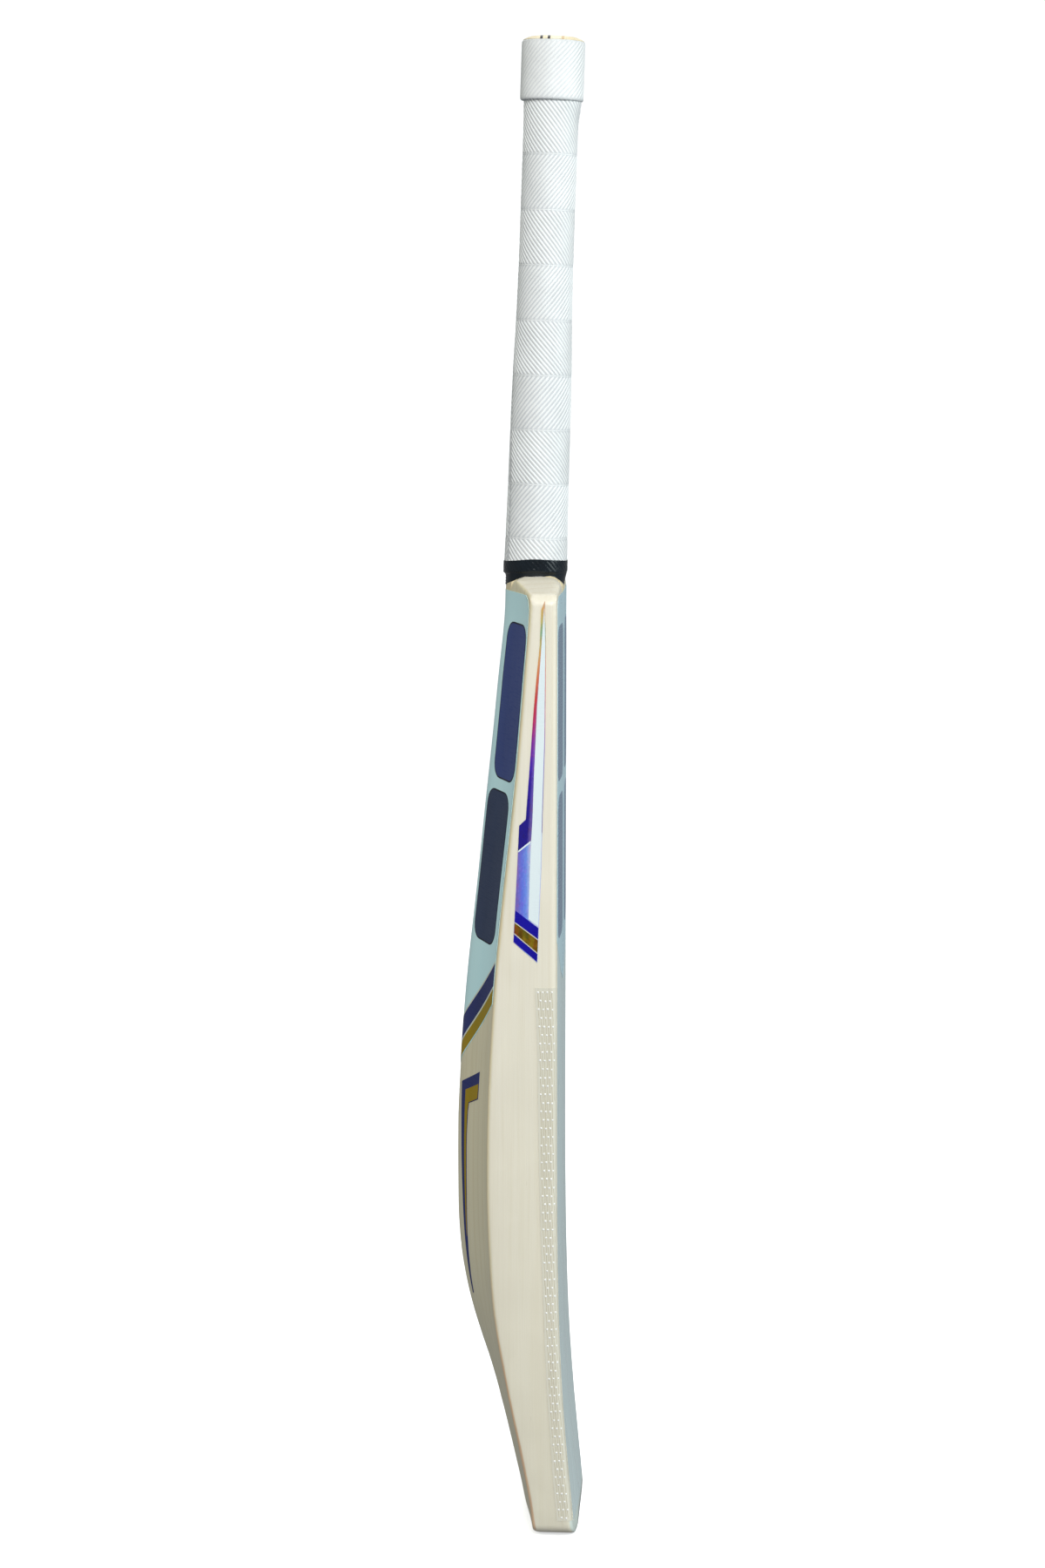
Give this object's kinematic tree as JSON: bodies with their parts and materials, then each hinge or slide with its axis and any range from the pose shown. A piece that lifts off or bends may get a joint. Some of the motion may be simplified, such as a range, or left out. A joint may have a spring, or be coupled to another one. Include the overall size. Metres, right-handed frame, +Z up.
{
  "type": "cricket bat",
  "caption": "Full-size willow bat with a ridged back and bowed flat face, and a laminated cane handle spliced into the blade under a ribbed rubber grip.",
  "frame": {"origin": "on the ground plane under the middle of the bat's width and depth, with the bat standing upright on its toe", "axes": "+Z runs up the bat from the toe to the handle's end; -Y is the side of the flat striking face and +Y the side of the spine; +X completes the right-handed frame across the blade's width"},
  "size_m": [0.1084, 0.0728, 0.8548],
  "materials": {
    "willow": "bleached bare willow, fine straight grain",
    "cane": "bare cane, cut ends",
    "strip_rubber": "matt black strip",
    "strip_cork": "brown cork and rubber strip",
    "twine": "close-wound waxed twine",
    "grip_rubber": "white moulded rubber, fine slanting ribs",
    "black_tape": "stretched glossy tape",
    "toe_rubber": "thin matt sheet",
    "back_vinyl": "printed satin film",
    "flash_vinyl": "printed satin film",
    "face_vinyl": "printed satin film",
    "clear_sheet": "thin clear protective film",
    "fibre_tape": "glass-fibre reinforced tape under clear film",
    "foil": "iridescent printed foil"
  },
  "bodies": {
    "root": {"blade": "willow", "toe_guard": "toe_rubber", "cane_back": "cane", "spring_back": "strip_rubber", "cane_mid_back": "cane", "spring_centre": "strip_rubber", "cane_centre": "cane", "spring_front": "strip_cork", "cane_front": "cane", "twine_binding": "twine", "grip_sleeve": "grip_rubber", "grip_collar": "grip_rubber", "grip_tape": "black_tape", "back_sticker": "back_vinyl", "back_flash_right": "flash_vinyl", "back_flash_left": "flash_vinyl", "face_sticker": "face_vinyl", "face_sheet": "clear_sheet", "edge_tape_left": "fibre_tape", "edge_tape_right": "fibre_tape", "edge_flash_left": "foil", "edge_flash_right": "foil"}
  },
  "joints": []
}
